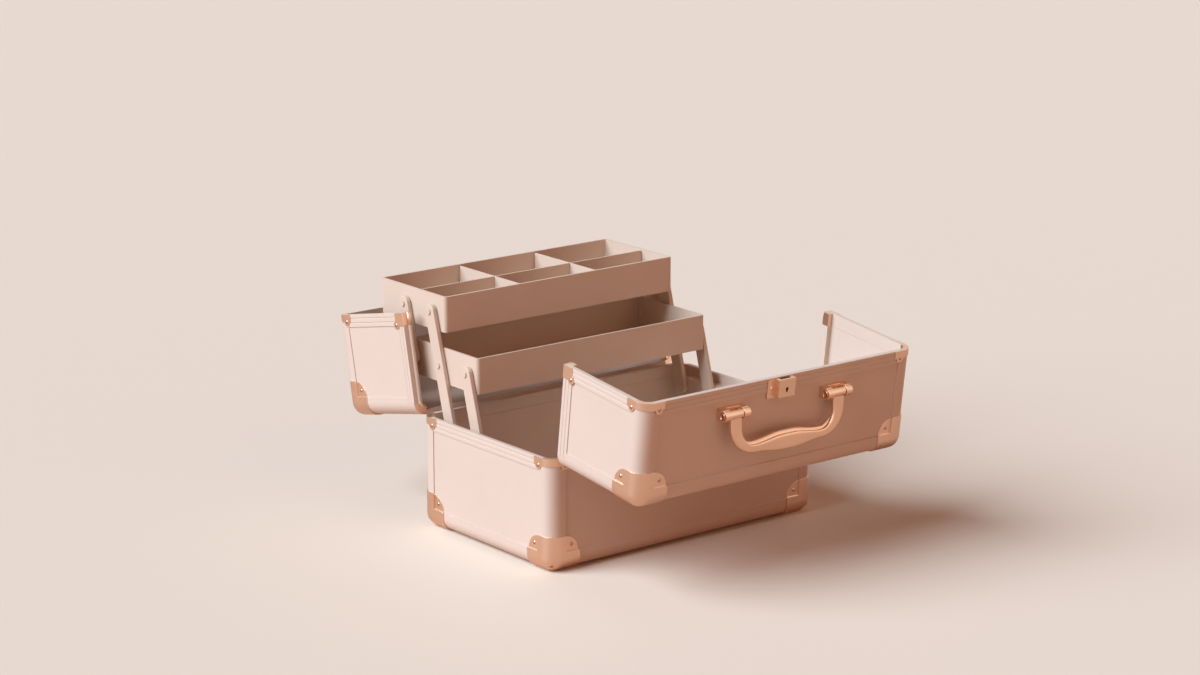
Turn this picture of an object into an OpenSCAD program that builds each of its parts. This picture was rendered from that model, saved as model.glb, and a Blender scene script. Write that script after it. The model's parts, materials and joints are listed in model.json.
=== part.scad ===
// Makeup storage case with handle: a split-top train case with two lift trays, shown open.
// Millimetres. +Z up, X along the width, the handle side is -Y.
// The origin is the middle of the bottom board's underside, on which the case stands.

/* [Case] */
// Width of the case over its panels
body_w = 360; // [320:1:420]
// Depth of the closed case over its panels
body_d = 224; // [212:1:260]
// Height of the base shell, without the corner fittings' thickness
base_h = 121; // [110:1:150]
// Height of each lid half above the mating plane
lid_h = 128; // [122:1:150]
// Radius of the rounded outer edges
edge_r = 14; // [10:0.5:16]
// Width of an edge profile on each face
band = 20; // [18:0.5:24]
// Thickness of an edge profile's lip over the panels
skin = 1; // [0.6:0.1:1.5]
// Thickness of the panels
panel_t = 4; // [3:0.5:5]

/* [Rim] */
// Height of the rim bars
rim_h = 14; // [12:0.5:18]
// Width of a groove along a rim bar
groove_w = 0.9; // [0.5:0.1:1.5]
// Depth of a groove along a rim bar
groove_d = 0.5; // [0.3:0.1:0.8]
// Gap between the base rim and the closed lid halves
mate_gap = 0.4; // [0.3:0.1:1]
// Gap between the two closed lid halves
split_gap = 0.6; // [0.4:0.1:1.2]

/* [Corner fittings] */
// Thickness of the ball corners
ball_t = 1.2; // [0.8:0.1:2]
// Reach of a ball corner along each edge
ball_reach = 38; // [34:1:46]
// Thickness of a ball corner's lugs, which lie on the panels
lug_t = 0.6; // [0.4:0.1:0.8]
// Thickness of the rim corner joiners outside the rim bars
joiner_t = 0.8; // [0.5:0.1:1.2]
// Height of the rim corner joiners
joiner_h = 8; // [6:0.5:10]
// Length of a joiner's leg along the rim bar
joiner_leg = 12; // [8:1:16]
// Radius of a joiner's round lug
joiner_lug_r = 4.5; // [3.5:0.1:6]
// Height of the flanges inside the lid halves' mating rims
flange_h = 8; // [6:0.5:10]
// Radius of a rivet head
rivet_r = 2.2; // [1.5:0.1:2.8]
// Height of a rivet head
rivet_h = 0.9; // [0.5:0.1:1.2]

/* [Hinges] */
// Distance of the hinge pins outside the case's face
hinge_out = 3.5; // [3.2:0.1:5]
// Distance of the hinge pins below the base's mating plane
hinge_drop = 6.5; // [5:0.5:8]
// Distance of each hinge from the middle of the case
hinge_x = 110; // [90:1:125]
// Length of a hinge
hinge_len = 46; // [36:1:60]
// Radius of a hinge knuckle
knuckle_r = 3; // [2.6:0.1:3.1]
// Radius of a hinge pin
hinge_pin_r = 1.5; // [1:0.1:1.8]
// Thickness of a hinge leaf
leaf_t = 1.5; // [1:0.1:1.6]
// Angle that the front lid half stands open
front_open = 97; // [90:1:100]
// Angle that the rear lid half stands open
rear_open = 102; // [95:1:104]

/* [Trays] */
// Room for the arms between a tray's end and the panel beside it
tray_side = 19; // [17:0.5:30]
// Depth of a tray
tray_d = 119; // [114:1:124]
// Height of a tray
tray_h = 39; // [34:1:40]
// Thickness of a tray's walls
tray_wall = 2.5; // [2:0.1:3.5]
// Thickness of a tray's floor
tray_floor = 2.5; // [2:0.1:3.5]
// Radius of a tray's upright corners
tray_r = 4; // [3.6:0.1:8]
// Thickness of the dividers
divider_t = 2; // [1.5:0.1:3]
// Drop of the dividers below the tray's rim
divider_drop = 1.5; // [0.5:0.1:6]
// Distance of the lengthwise divider from the tray's front face
divider_y = 52; // [40:1:80]

/* [Tray arms] */
// Width of an arm
arm_w = 16; // [12:0.5:17]
// Thickness of an arm
arm_t = 5; // [2:0.5:6]
// Gap between a tray's end and its arms
arm_gap = 0.6; // [0.4:0.1:1]
// Distance between neighbouring arm pivots
pivot_pitch = 48; // [42:1:50]
// Length of the front arms, and of the long arms up to the lower tray
lower_arm = 75; // [70:1:80]
// Length of the rear arms, and of the long arms between the trays
upper_arm = 58; // [56:1:64]
// Lean of the raised arms towards the rear
arm_lean = 16; // [8:1:20]
// Depth of the front arms' base pivots behind the middle of the case
base_pivot_y = 38; // [34:1:42]
// Height of the base pivots below the base's mating plane
base_pivot_drop = 20; // [16:1:30]
// Height of a tray's pivots above its underside
tray_pivot_h = 20; // [14:1:24]
// Distance of the lower tray's first pivot from its front face
low_pivot_in = 15; // [10:1:20]
// Distance of the upper tray's first pivot from its front face
high_pivot_in = 22; // [18:1:40]
// Radius of a pivot rivet's shank
pivot_r = 2; // [1.5:0.1:2.4]
// Radius of a pivot rivet's head
pivot_head_r = 3; // [2.6:0.1:4]
// Height of a pivot rivet's head
pivot_head_h = 1.2; // [0.8:0.1:1.6]

/* [Handle] */
// Distance between the handle's two eyes
handle_span = 137; // [110:1:160]
// Drop from the eyes' axis to the underside of the grip
handle_drop = 46; // [42:1:60]
// Distance of the eyes' axis from the split edge
handle_y = 26; // [24:1:32]
// Height of the eyes' axis above the panel
handle_axis_h = 10; // [9:0.5:13]
// Width of the bail's arms
bail_w = 15; // [12:0.5:18]
// Thickness of the bail's arms
bail_t = 7; // [6:0.5:9]
// Radius of the bail's eyes
eye_r = 4.8; // [4:0.1:5.5]
// Greatest radius of the grip
grip_r = 8; // [7:0.5:9]
// Outer radius of the bends between the arms and the grip
bend_r = 32; // [24:1:36]
// Radius of the handle's pins
handle_pin_r = 2; // [1.5:0.1:2.6]
// Width of each bracket ear
ear_w = 8; // [6:0.5:10]
// Height of a bracket block along the panel
bracket_d = 12.5; // [11.5:0.5:16]
// Radius of the round end of a bracket ear
ear_r = 5.7; // [5:0.1:5.7]

/* [Lock] */
// Width of the lock's raised box
lock_w = 22; // [20:0.5:28]
// Depth of the lock's raised box along the panel
lock_d = 19; // [18:0.5:24]
// Height of the lock's raised box above the rim
lock_h = 7; // [6.8:0.1:9]
// Wall thickness of the lock's raised box
lock_wall = 1.2; // [1:0.1:1.6]
// Width of the lock plate's screwed flange
flange_w = 10; // [8:0.5:14]
// Thickness of the lock plate
plate_t = 1.2; // [0.8:0.1:1.6]
// Width of the strike's tongue
tongue_w = 12; // [8:0.5:13]
// Reach of the strike's tongue past the split
tongue_reach = 6.4; // [6:0.1:7]
// Thickness of the strike
strike_t = 1.2; // [0.8:0.1:1.4]
// Radius of the lock's cylinder
cylinder_r = 4; // [3.5:0.1:5]
// Width of the keyhole's slot
key_w = 2; // [1:0.1:2.4]

/* [Hidden] */
$fn = 48;
wall = skin + panel_t;
tray_w = body_w - 2 * (wall + tray_side);
lug_margin = 1;
riser_t = 0.8;
lug_r = ball_reach - band - lug_margin;
joiner_lug_x = band - lug_margin;
pin_clear = 0.05;
press_clear = 0.02;
face_gap = 0.3;
head_gap = 0.15;
over = 1;
groove_places = [0.32, 0.68];
lug_rivet_place = 0.45;
flange_share = 0.6;
flange_in = (edge_r - wall) * flange_share;
block_rim = 2;
lug_step = 1;
mate_z = ball_t + base_h;
lid_z = mate_z + mate_gap;
lid_top = lid_z + lid_h;
split_y = -split_gap / 2;
hinge_y = -body_d / 2 - hinge_out;
hinge_z = mate_z - hinge_drop;
knuckle_len = hinge_len / 3;
leaf_rim = 1;
pad_rise = 0.4;
web_back = 0.2;
pin_end = 0.8;
pin_head = 0.7;

// Pivot places, worked out from the arms' lengths and lean
arm_x = tray_w / 2 + arm_gap;
base_pivot_z = mate_z - base_pivot_drop;
low_y = base_pivot_y + lower_arm * sin(arm_lean);
low_z = base_pivot_z + lower_arm * cos(arm_lean);
high_y = low_y + pivot_pitch + upper_arm * sin(arm_lean);
high_z = low_z + upper_arm * cos(arm_lean);
low_tray_y = low_y - low_pivot_in;
high_tray_y = high_y - high_pivot_in;
block_x = arm_x + arm_t + face_gap;
block_h = arm_w + 2 * block_rim;

// Handle and lock places on the closed front lid half
panel_top = lid_top - skin;
eye_y = split_y - handle_y;
eye_z = panel_top + handle_axis_h;
hang = front_open - 90;
eye_extra = 1;
eye_w = bail_w + eye_extra;
eye_space = 1.2;
grip_in = 1.5;
lock_edge = 1;
lock_y = split_y - lock_edge;
lock_floor = 0.5;
lock_foot = 1;
plate_side = 1;
slot_side = 0.8;
slot_h = 3.9;
key_r = 1.8;
key_reach = 3.4;
key_depth = 4;
cylinder_low = 1;
cylinder_y = lock_y - lock_d / 2 - cylinder_low;
tongue_lift = 0.9;
strike_side = 6;
strike_in = 2;
lip_t = 1.2;
lip_w = 5;
lip_h = 1.6;
cam_t = 1.2;
cam_w = 4;
cam_clear = 0.2;
tongue_top = lid_top + tongue_lift + strike_t;
cam_z = tongue_top + lip_h + cam_clear;
lip_y = lip_t - tongue_reach;

pink = [0.84, 0.70, 0.63];
rose = [0.80, 0.55, 0.42];
deep_rose = [0.66, 0.42, 0.31];
inner = [0.78, 0.62, 0.54];

// Turns an edge along Z into one along X, and a face on Y into one on Z
module turn_x() {
  rotate([90, 0, 90]) children();
}

// Turns an edge along Z into one along Y, and a face on Y into one on X
module turn_y() {
  rotate([0, -90, -90]) children();
}

// Repeats a piece at the base's four lower corners, each drawn in the first octant
module at_base_corners() {
  for (mx = [0, 1], my = [0, 1])
    mirror([mx, 0, 0]) mirror([0, my, 0])
      translate([-body_w / 2, -body_d / 2, ball_t]) children();
}

// Repeats a piece at the two outer top corners of a closed lid half
module at_lid_corners() {
  for (mx = [0, 1])
    mirror([mx, 0, 0]) translate([-body_w / 2, -body_d / 2, lid_top]) mirror([0, 0, 1]) children();
}

// Swings what is drawn on the closed front lid half to its open place
module front_lid() {
  translate([0, hinge_y, hinge_z]) rotate([front_open, 0, 0]) translate([0, -hinge_y, -hinge_z]) children();
}

// Mirrors what is drawn on a closed front half to the rear, and swings it open
module rear_lid() {
  mirror([0, 1, 0]) translate([0, hinge_y, hinge_z]) rotate([rear_open, 0, 0])
    translate([0, -hinge_y, -hinge_z]) children();
}

// A quarter of a tube round an edge whose rounding has its centre at edge_r, edge_r
module quarter_tube(r_in, r_out, h) {
  translate([edge_r, edge_r, 0]) rotate([0, 0, 180])
    rotate_extrude(angle = 90) translate([r_in, 0]) square([r_out - r_in, h]);
}

// An eighth of a hollow ball round a corner
module ball_eighth(r_in, r_out) {
  translate([edge_r, edge_r, edge_r]) rotate([0, 0, 180]) rotate_extrude(angle = 90)
    intersection() {
      difference() {
        circle(r_out);
        circle(r_in);
      }
      translate([0, -r_out]) square(r_out);
    }
}

// An edge profile along Z: a quarter tube between z0 and z1, with lips over both panels from lip0 to lip1
module edge_profile(z0, z1, lip0, lip1) {
  translate([0, 0, z0]) quarter_tube(edge_r - wall, edge_r, z1 - z0);
  translate([edge_r, 0, lip0[0]]) cube([band - edge_r, skin, lip1[0] - lip0[0]]);
  translate([0, edge_r, lip0[1]]) cube([skin, band - edge_r, lip1[1] - lip0[1]]);
}

// A straight rim bar along X, outer face on Y = 0, free edge at the top, with two grooves outside
module rim_bar(len) {
  rotate([90, 0, 90]) linear_extrude(len)
    difference() {
      square([wall, rim_h]);
      for (share = groove_places)
        translate([-over, share * rim_h - groove_w / 2]) square([over + groove_d, groove_w]);
    }
}

// A rose-gold corner that joins two rim bars, drawn in the first octant with its free edge at the top
module rim_joiner() {
  translate([0, 0, rim_h - joiner_h]) {
    quarter_tube(edge_r - wall, edge_r + joiner_t, joiner_h);
    for (flip = [0, 1])
      mirror([flip, -flip, 0]) {
        translate([edge_r, -joiner_t, 0]) cube([joiner_leg, joiner_t, joiner_h]);
        translate([joiner_lug_x, 0, 0]) rotate([90, 0, 0]) cylinder(r = joiner_lug_r, h = joiner_t);
      }
  }
}

// A flange joiner in the first octant, free edge at the top: a ring inside the rim, capping a profile's end
module flange_joiner() {
  translate([0, 0, rim_h - flange_h]) quarter_tube(edge_r - wall - flange_in, edge_r - wall, flange_h);
  translate([0, 0, rim_h - joiner_t]) quarter_tube(edge_r - wall, edge_r, joiner_t);
}

// The two rivets on a rim joiner's lugs
module rim_joiner_rivets() {
  for (flip = [0, 1])
    mirror([flip, -flip, 0])
      translate([joiner_lug_x, -joiner_t, rim_h - joiner_h]) rotate([90, 0, 0]) rivet_head();
}

// A domed rivet head, standing on Z = 0
module rivet_head() {
  dome_r = (rivet_r * rivet_r + rivet_h * rivet_h) / (2 * rivet_h);
  intersection() {
    translate([0, 0, rivet_h - dome_r]) sphere(dome_r);
    cylinder(r = rivet_r, h = rivet_h);
  }
}

// A pressed ball corner in the first octant; lugs tells which of its three faces have one
module ball_corner(lugs) {
  ball_eighth(edge_r, edge_r + ball_t);
  ball_side(lugs[0]);
  turn_x() ball_side(lugs[1]);
  turn_y() ball_side(lugs[2]);
}

// One edge wrap and one face plate of a ball corner, with the lug that steps down to the panel, if it has one
module ball_side(lug) {
  translate([0, 0, edge_r]) quarter_tube(edge_r, edge_r + ball_t, ball_reach - edge_r);
  rotate([90, 0, 0]) linear_extrude(ball_t)
    polygon([
      [edge_r, edge_r], [ball_reach, edge_r], [ball_reach, band],
      [band, band], [band, ball_reach], [edge_r, ball_reach]
    ]);
  if (lug)
    translate([0, skin, 0]) rotate([90, 0, 0]) {
      linear_extrude(lug_t) lug_outline();
      linear_extrude(skin + ball_t) difference() {
        lug_outline();
        translate([band + riser_t, band + riser_t]) square(lug_r);
      }
    }
}

// A lug's quarter circle, in the corner between a face's two profiles
module lug_outline() {
  translate([band, band]) intersection() {
    circle(lug_r);
    square(lug_r);
  }
}

// The rivet on one lug of a ball corner
module ball_rivet() {
  place = band + lug_r * lug_rivet_place;
  translate([place, skin - lug_t, place]) rotate([90, 0, 0]) rivet_head();
}

// ---- Base ----

module base_front_panel() {
  color(pink) translate([edge_r - body_w / 2, skin - body_d / 2, ball_t + edge_r])
    cube([body_w - 2 * edge_r, panel_t, base_h - rim_h - edge_r]);
}

module base_rear_panel() {
  mirror([0, 1, 0]) base_front_panel();
}

module base_left_panel() {
  color(pink) translate([skin - body_w / 2, edge_r - body_d / 2, ball_t + edge_r])
    cube([panel_t, body_d - 2 * edge_r, base_h - rim_h - edge_r]);
}

module base_right_panel() {
  mirror([1, 0, 0]) base_left_panel();
}

// The bottom board: its edge lies under the profiles' lips, its field is level with the ball corners
module base_bottom_board() {
  color(pink) {
    translate([edge_r - body_w / 2, edge_r - body_d / 2, ball_t + skin])
      cube([body_w - 2 * edge_r, body_d - 2 * edge_r, panel_t]);
    translate([band - body_w / 2, band - body_d / 2, 0])
      cube([body_w - 2 * band, body_d - 2 * band, ball_t + skin]);
  }
}

module base_edge_profiles() {
  top = base_h - rim_h;
  color(pink) at_base_corners() {
    ball_eighth(edge_r - wall, edge_r);
    edge_profile(edge_r, base_h - joiner_h, [band, band], [top, top]);
    turn_x() edge_profile(edge_r, body_w / 2, [edge_r, edge_r], [body_w / 2, body_w / 2]);
    turn_y() edge_profile(edge_r, body_d / 2, [edge_r, band], [body_d / 2, body_d / 2]);
  }
}

module base_rim_bars() {
  color(pink) for (turn = [0, 180]) rotate([0, 0, turn]) {
    translate([edge_r - body_w / 2, -body_d / 2, mate_z - rim_h]) rim_bar(body_w - 2 * edge_r);
    translate([-body_w / 2, body_d / 2 - edge_r, mate_z - rim_h]) rotate([0, 0, -90])
      rim_bar(body_d - 2 * edge_r);
  }
}

module base_rim_joiners() {
  color(rose) at_base_corners() translate([0, 0, base_h - rim_h]) rim_joiner();
}

module base_ball_corners() {
  color(rose) at_base_corners() ball_corner([true, false, true]);
}

module base_rivets() {
  color(deep_rose) at_base_corners() {
    ball_rivet();
    turn_y() ball_rivet();
    translate([0, 0, base_h - rim_h]) rim_joiner_rivets();
  }
}

// ---- Lid halves, drawn closed at the front ----

module lid_top_panel() {
  translate([edge_r - body_w / 2, edge_r - body_d / 2, lid_top - wall])
    cube([body_w - 2 * edge_r, body_d / 2 - edge_r + split_y - rim_h, panel_t]);
}

module lid_end_panel() {
  translate([skin - body_w / 2, edge_r - body_d / 2, lid_z + rim_h])
    cube([panel_t, body_d / 2 - edge_r + split_y - rim_h, lid_h - rim_h - edge_r]);
}

module lid_face_panel() {
  translate([edge_r - body_w / 2, skin - body_d / 2, lid_z + rim_h])
    cube([body_w - 2 * edge_r, panel_t, lid_h - rim_h - edge_r]);
}

module lid_edge_profiles() {
  low = lid_h - rim_h;
  back = body_d / 2 + split_y - rim_h;
  color(pink) at_lid_corners() {
    ball_eighth(edge_r - wall, edge_r);
    edge_profile(edge_r, lid_h - joiner_t, [band, band], [low, low]);
    turn_x() edge_profile(edge_r, body_w / 2, [edge_r, edge_r], [body_w / 2, body_w / 2]);
    turn_y() edge_profile(edge_r, back + rim_h - joiner_h, [edge_r, band], [back, back]);
  }
}

module lid_rim_bars() {
  side = body_d / 2 + split_y - edge_r;
  color(pink) {
    translate([edge_r - body_w / 2, -body_d / 2, lid_z + rim_h]) mirror([0, 0, 1])
      rim_bar(body_w - 2 * edge_r);
    translate([edge_r - body_w / 2, split_y - rim_h, lid_top]) rotate([-90, 0, 0])
      rim_bar(body_w - 2 * edge_r);
    for (mx = [0, 1]) mirror([mx, 0, 0]) {
      translate([-body_w / 2, edge_r - body_d / 2, lid_z + rim_h]) mirror([0, 0, 1])
        mirror([1, -1, 0]) rim_bar(side);
      translate([wall - body_w / 2, edge_r - body_d / 2, lid_z]) cube([flange_in, side - rim_h, flange_h]);
      translate([-body_w / 2, split_y - rim_h, lid_z + rim_h]) turn_y() mirror([1, 0, 0])
        rotate([0, 180, 0]) translate([0, 0, -rim_h]) rim_bar(lid_h - rim_h - edge_r);
    }
  }
}

// The joiners at the mating rim's two outer corners, the split rim's two top corners, and the plates and
// flange ends where the mating and the split rims meet
module lid_rim_joiners() {
  color(rose) for (mx = [0, 1]) mirror([mx, 0, 0]) {
    translate([-body_w / 2, -body_d / 2, lid_z + rim_h]) mirror([0, 0, 1]) flange_joiner();
    translate([-body_w / 2, split_y - rim_h, lid_top]) rotate([-90, 0, 0]) rim_joiner();
    translate([wall - body_w / 2, split_y - rim_h, lid_z]) cube([flange_in, rim_h, flange_h]);
    junction_plate();
  }
}

module junction_plate() {
  translate([-body_w / 2 - joiner_t, split_y - rim_h, lid_z]) cube([joiner_t, rim_h, rim_h]);
  at_junction_lug() rotate([0, 90, 0]) cylinder(r = joiner_lug_r, h = joiner_t);
}

// Puts a piece at a junction plate's round lug
module at_junction_lug() {
  translate([-body_w / 2 - joiner_t, split_y - rim_h + lug_step, lid_z + rim_h - lug_step]) children();
}

module lid_ball_corners() {
  color(rose) at_lid_corners() ball_corner([true, true, true]);
}

module lid_rivets() {
  color(deep_rose) {
    at_lid_corners() {
      ball_rivet();
      turn_x() ball_rivet();
      turn_y() ball_rivet();
    }
    for (mx = [0, 1]) mirror([mx, 0, 0]) {
      translate([-body_w / 2, split_y - rim_h, lid_top]) rotate([-90, 0, 0]) rim_joiner_rivets();
      at_junction_lug() rotate([0, -90, 0]) rivet_head();
    }
  }
}

module front_lid_top_panel() { color(pink) front_lid() lid_top_panel(); }
module front_lid_front_panel() { color(pink) front_lid() lid_face_panel(); }
module front_lid_left_panel() { color(pink) front_lid() lid_end_panel(); }
module front_lid_right_panel() { color(pink) front_lid() mirror([1, 0, 0]) lid_end_panel(); }
module front_lid_edge_profiles() { front_lid() lid_edge_profiles(); }
module front_lid_rim_bars() { front_lid() lid_rim_bars(); }
module front_lid_rim_joiners() { front_lid() lid_rim_joiners(); }
module front_lid_ball_corners() { front_lid() lid_ball_corners(); }
module front_lid_rivets() { front_lid() lid_rivets(); }

module rear_lid_top_panel() { color(pink) rear_lid() lid_top_panel(); }
module rear_lid_rear_panel() { color(pink) rear_lid() lid_face_panel(); }
module rear_lid_left_panel() { color(pink) rear_lid() lid_end_panel(); }
module rear_lid_right_panel() { color(pink) rear_lid() mirror([1, 0, 0]) lid_end_panel(); }
module rear_lid_edge_profiles() { rear_lid() lid_edge_profiles(); }
module rear_lid_rim_bars() { rear_lid() lid_rim_bars(); }
module rear_lid_rim_joiners() { rear_lid() lid_rim_joiners(); }
module rear_lid_ball_corners() { rear_lid() lid_ball_corners(); }
module rear_lid_rivets() { rear_lid() lid_rivets(); }

// ---- Hinges, drawn closed at the front ----

// Repeats a piece at the two hinges, with the pin's axis along X through the origin
module at_hinges() {
  for (x = [-hinge_x, hinge_x]) translate([x, hinge_y, hinge_z]) children();
}

// A knuckle along X from x0 to x1, bored for the pin
module knuckle(x0, x1) {
  translate([x0, 0, 0]) rotate([0, 90, 0]) difference() {
    cylinder(r = knuckle_r, h = x1 - x0);
    translate([0, 0, -over]) cylinder(r = hinge_pin_r + pin_clear, h = x1 - x0 + 2 * over);
  }
}

// The base leaf: two outer knuckles on tabs, joined by a strip below
module hinge_base_leaf() {
  foot = rim_h - hinge_drop - leaf_rim;
  head = hinge_drop - leaf_rim;
  bore = hinge_pin_r + pin_clear;
  for (side = [-1, 1]) {
    inner_x = side * (knuckle_len / 2 + face_gap);
    outer_x = side * hinge_len / 2;
    knuckle(min(inner_x, outer_x), max(inner_x, outer_x));
    difference() {
      translate([min(inner_x, outer_x), hinge_out - leaf_t, -foot])
        cube([hinge_len / 2 - knuckle_len / 2 - face_gap, leaf_t, foot + head]);
      translate([-hinge_len, 0, 0]) rotate([0, 90, 0]) cylinder(r = bore, h = 2 * hinge_len);
    }
  }
  translate([-hinge_len / 2, hinge_out - leaf_t, -foot])
    cube([hinge_len, leaf_t, foot - knuckle_r - face_gap]);
}

// The lid leaf: the middle knuckle, a web past the base rim and a pad on the lid's rim bar
module hinge_lid_leaf() {
  length = knuckle_len - 2 * face_gap;
  pad_low = hinge_drop + mate_gap + pad_rise;
  pad_high = hinge_drop + mate_gap + rim_h - 2 * leaf_rim;
  web_t = leaf_t - face_gap - web_back;
  knuckle(-length / 2, length / 2);
  difference() {
    translate([-length / 2, hinge_out - leaf_t, 0]) cube([length, web_t, pad_high]);
    translate([-hinge_len, 0, 0]) rotate([0, 90, 0])
      cylinder(r = hinge_pin_r + pin_clear, h = 2 * hinge_len);
  }
  translate([-hinge_len / 2, hinge_out - leaf_t, pad_low]) cube([hinge_len, leaf_t, pad_high - pad_low]);
}

module hinge_pin() {
  translate([-hinge_len / 2 - pin_end, 0, 0]) rotate([0, 90, 0]) {
    cylinder(r = hinge_pin_r, h = hinge_len + 2 * pin_end);
    cylinder(r = hinge_pin_r + pin_head, h = pin_head);
  }
}

module front_hinge_base_leaves() { color(rose) at_hinges() hinge_base_leaf(); }
module front_hinge_lid_leaves() { color(rose) front_lid() at_hinges() hinge_lid_leaf(); }
module front_hinge_pins() { color(deep_rose) at_hinges() hinge_pin(); }
module rear_hinge_base_leaves() { mirror([0, 1, 0]) front_hinge_base_leaves(); }
module rear_hinge_lid_leaves() { color(rose) rear_lid() at_hinges() hinge_lid_leaf(); }
module rear_hinge_pins() { mirror([0, 1, 0]) front_hinge_pins(); }

// ---- Trays ----

// A rectangle with round corners, its lower left corner at the origin
module round_rect(w, d, r) {
  translate([r, 0]) square([w - 2 * r, d]);
  translate([0, r]) square([w, d - 2 * r]);
  for (x = [r, w - r], y = [r, d - r]) translate([x, y]) circle(r);
}

// A tray with its front face at y and its underside at z, drilled at its pivots
module tray(y, z, pivots) {
  translate([-tray_w / 2, y, z]) difference() {
    linear_extrude(tray_h) round_rect(tray_w, tray_d, tray_r);
    translate([tray_wall, tray_wall, tray_floor]) linear_extrude(tray_h)
      round_rect(tray_w - 2 * tray_wall, tray_d - 2 * tray_wall, tray_r - tray_wall);
    for (p = pivots)
      translate([-over, p, tray_pivot_h]) rotate([0, 90, 0])
        cylinder(r = pivot_r + press_clear, h = tray_w + 2 * over);
  }
}

low_pivots = [low_pivot_in, low_pivot_in + pivot_pitch, low_pivot_in + 2 * pivot_pitch];
high_pivots = [high_pivot_in, high_pivot_in + pivot_pitch];

module lower_tray() {
  color(pink) tray(low_tray_y, low_z - tray_pivot_h, low_pivots);
}

module upper_tray() {
  color(pink) tray(high_tray_y, high_z - tray_pivot_h, high_pivots);
}

divider_h = tray_h - tray_floor - divider_drop;
divider_len = tray_w - 2 * tray_wall - 2 * face_gap;
cross_len = tray_d - 2 * tray_wall - 2 * face_gap;
cross_x = [-tray_w / 6, tray_w / 6];
slot_w = divider_t + face_gap;
high_floor = high_z - tray_pivot_h + tray_floor;

// The lengthwise divider, slotted from above to take the cross dividers
module upper_tray_long_divider() {
  color(pink) difference() {
    translate([-divider_len / 2, high_tray_y + divider_y - divider_t / 2, high_floor])
      cube([divider_len, divider_t, divider_h]);
    for (x = cross_x)
      translate([x - slot_w / 2, high_tray_y + divider_y - divider_t, high_floor + divider_h / 2])
        cube([slot_w, 2 * divider_t, divider_h]);
  }
}

// The two cross dividers, slotted from below to stand over the lengthwise one
module upper_tray_cross_dividers() {
  color(pink) for (x = cross_x) difference() {
    translate([x - divider_t / 2, high_tray_y + tray_wall + face_gap, high_floor])
      cube([divider_t, cross_len, divider_h]);
    translate([x - divider_t, high_tray_y + divider_y - slot_w / 2, high_floor - over])
      cube([2 * divider_t, slot_w, divider_h / 2 + over + face_gap]);
  }
}

// ---- Tray arms ----

// A flat arm in the plane of X = 0, rising from the origin with its lean, with a bore at each stop
module arm(stops) {
  reach = stops[len(stops) - 1];
  rotate([-arm_lean, 0, 0]) rotate([0, 90, 0]) rotate([0, 0, 90]) linear_extrude(arm_t)
    difference() {
      union() {
        translate([-arm_w / 2, 0]) square([arm_w, reach]);
        circle(arm_w / 2);
        translate([0, reach]) circle(arm_w / 2);
      }
      for (s = stops) translate([0, s]) circle(pivot_r + pin_clear);
    }
}

module on_right(y, z) { translate([arm_x, y, z]) children(); }
module on_left() { mirror([1, 0, 0]) children(); }

module right_long_arm() {
  color(pink) on_right(base_pivot_y + pivot_pitch, base_pivot_z) arm([0, lower_arm, lower_arm + upper_arm]);
}

module right_rear_arm() {
  color(pink) on_right(low_y + 2 * pivot_pitch, low_z) arm([0, upper_arm]);
}

module right_front_arm() {
  color(pink) on_right(base_pivot_y, base_pivot_z) arm([0, lower_arm]);
}

module left_long_arm() { on_left() right_long_arm(); }
module left_rear_arm() { on_left() right_rear_arm(); }
module left_front_arm() { on_left() right_front_arm(); }

// The block on the base's wall that carries the two base pivots
module right_arm_block() {
  color(inner) translate([block_x, base_pivot_y, base_pivot_z]) rotate([0, 90, 0]) rotate([0, 0, 90])
    linear_extrude(body_w / 2 - wall - block_x) difference() {
      union() {
        translate([0, -block_h / 2]) square([pivot_pitch, block_h]);
        circle(block_h / 2);
        translate([pivot_pitch, 0]) circle(block_h / 2);
      }
      for (y = [0, pivot_pitch]) translate([y, 0]) circle(pivot_r + press_clear);
    }
}

module left_arm_block() { on_left() right_arm_block(); }

// A pivot rivet along X: head on the side of the arms, shank of a given length, tail beyond it
module pivot_rivet(shank) {
  rotate([0, 90, 0]) {
    cylinder(r = pivot_r, h = shank);
    translate([0, 0, -pivot_head_h]) cylinder(r = pivot_head_r, h = pivot_head_h);
  }
}

// The rivets on which the long and the front arms turn in the base
module base_pivot_rivets() {
  color(deep_rose) for (mx = [0, 1], y = [0, pivot_pitch]) mirror([mx, 0, 0])
    translate([arm_x - head_gap, base_pivot_y + y, base_pivot_z])
      pivot_rivet(body_w / 2 - wall - arm_x - pivot_head_h);
}

// The rivets of one tray: head outside the arm, tail inside the tray's wall
module tray_rivets(y, z, pivots) {
  shank = tray_wall + arm_gap + arm_t + head_gap;
  color(deep_rose) for (mx = [0, 1], p = pivots) mirror([mx, 0, 0])
    translate([arm_x + arm_t + head_gap, y + p, z]) mirror([1, 0, 0]) {
      pivot_rivet(shank);
      translate([shank, 0, 0]) rotate([0, 90, 0]) cylinder(r = pivot_head_r, h = pivot_head_h);
    }
}

module lower_tray_rivets() { tray_rivets(low_tray_y, low_z, low_pivots); }
module upper_tray_rivets() { tray_rivets(high_tray_y, high_z, high_pivots); }

// ---- Handle, drawn on the closed front lid half ----

// Repeats a piece at the handle's two eyes, with the axis along X through the origin
module at_eyes() {
  for (x = [-handle_span / 2, handle_span / 2]) translate([x, eye_y, eye_z]) children();
}

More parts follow.
